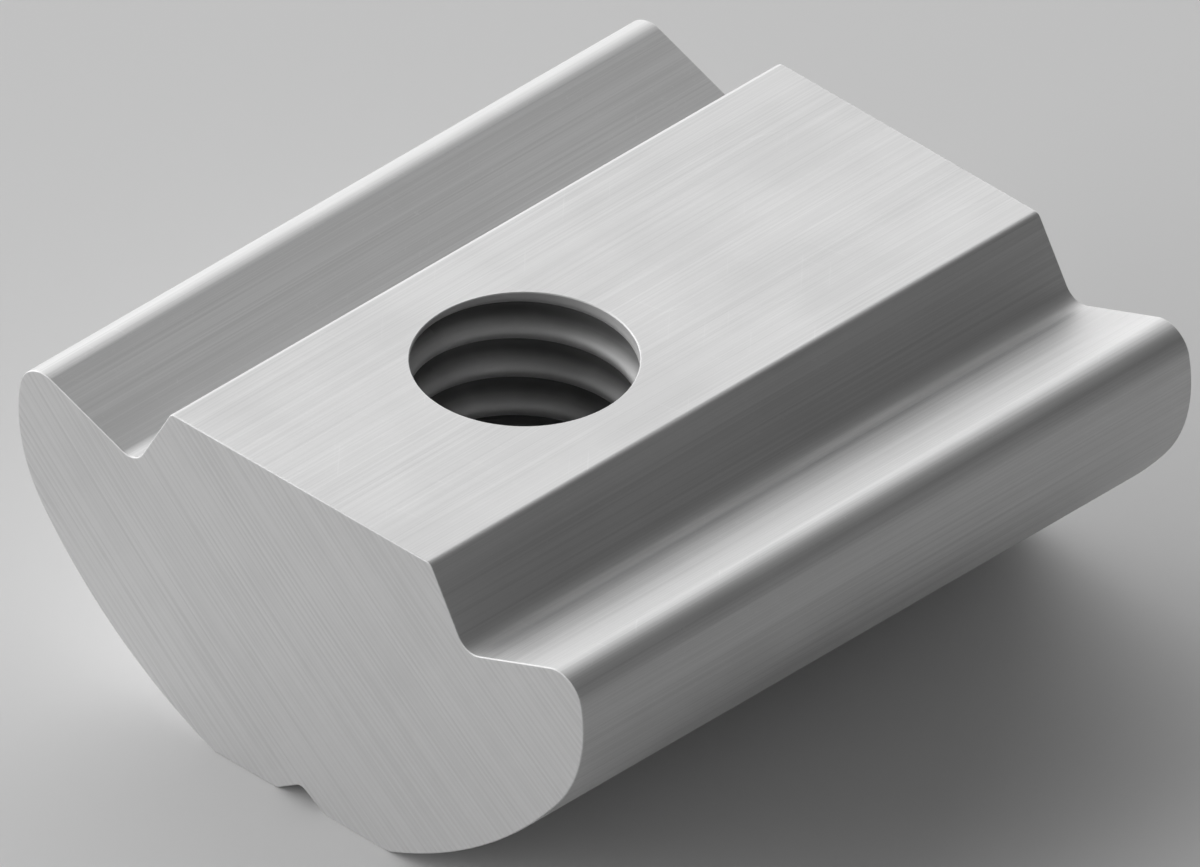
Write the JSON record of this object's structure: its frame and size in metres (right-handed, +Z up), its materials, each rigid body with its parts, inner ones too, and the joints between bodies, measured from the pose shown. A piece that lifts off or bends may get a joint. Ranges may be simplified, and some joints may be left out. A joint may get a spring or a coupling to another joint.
{
  "type": "t slot nut",
  "caption": "Steel T-slot nut: raised neck with sloping flanks, upswept side wings, round belly with a shallow centre groove, and a threaded through-hole nearer one end.",
  "frame": {"origin": "where the thread's axis meets the plane of the two flat feet that the nut stands on", "axes": "+X across the slot, +Y along the slot towards the long end of the nut, +Z up along the thread's axis towards the top of the neck"},
  "size_m": [0.017, 0.0183, 0.0082],
  "materials": {
    "steel": "satin, light neutral grey, fine drawing lines along the bar and sawn ends"
  },
  "bodies": {
    "root": {"t_slot_nut": "steel"}
  },
  "joints": []
}
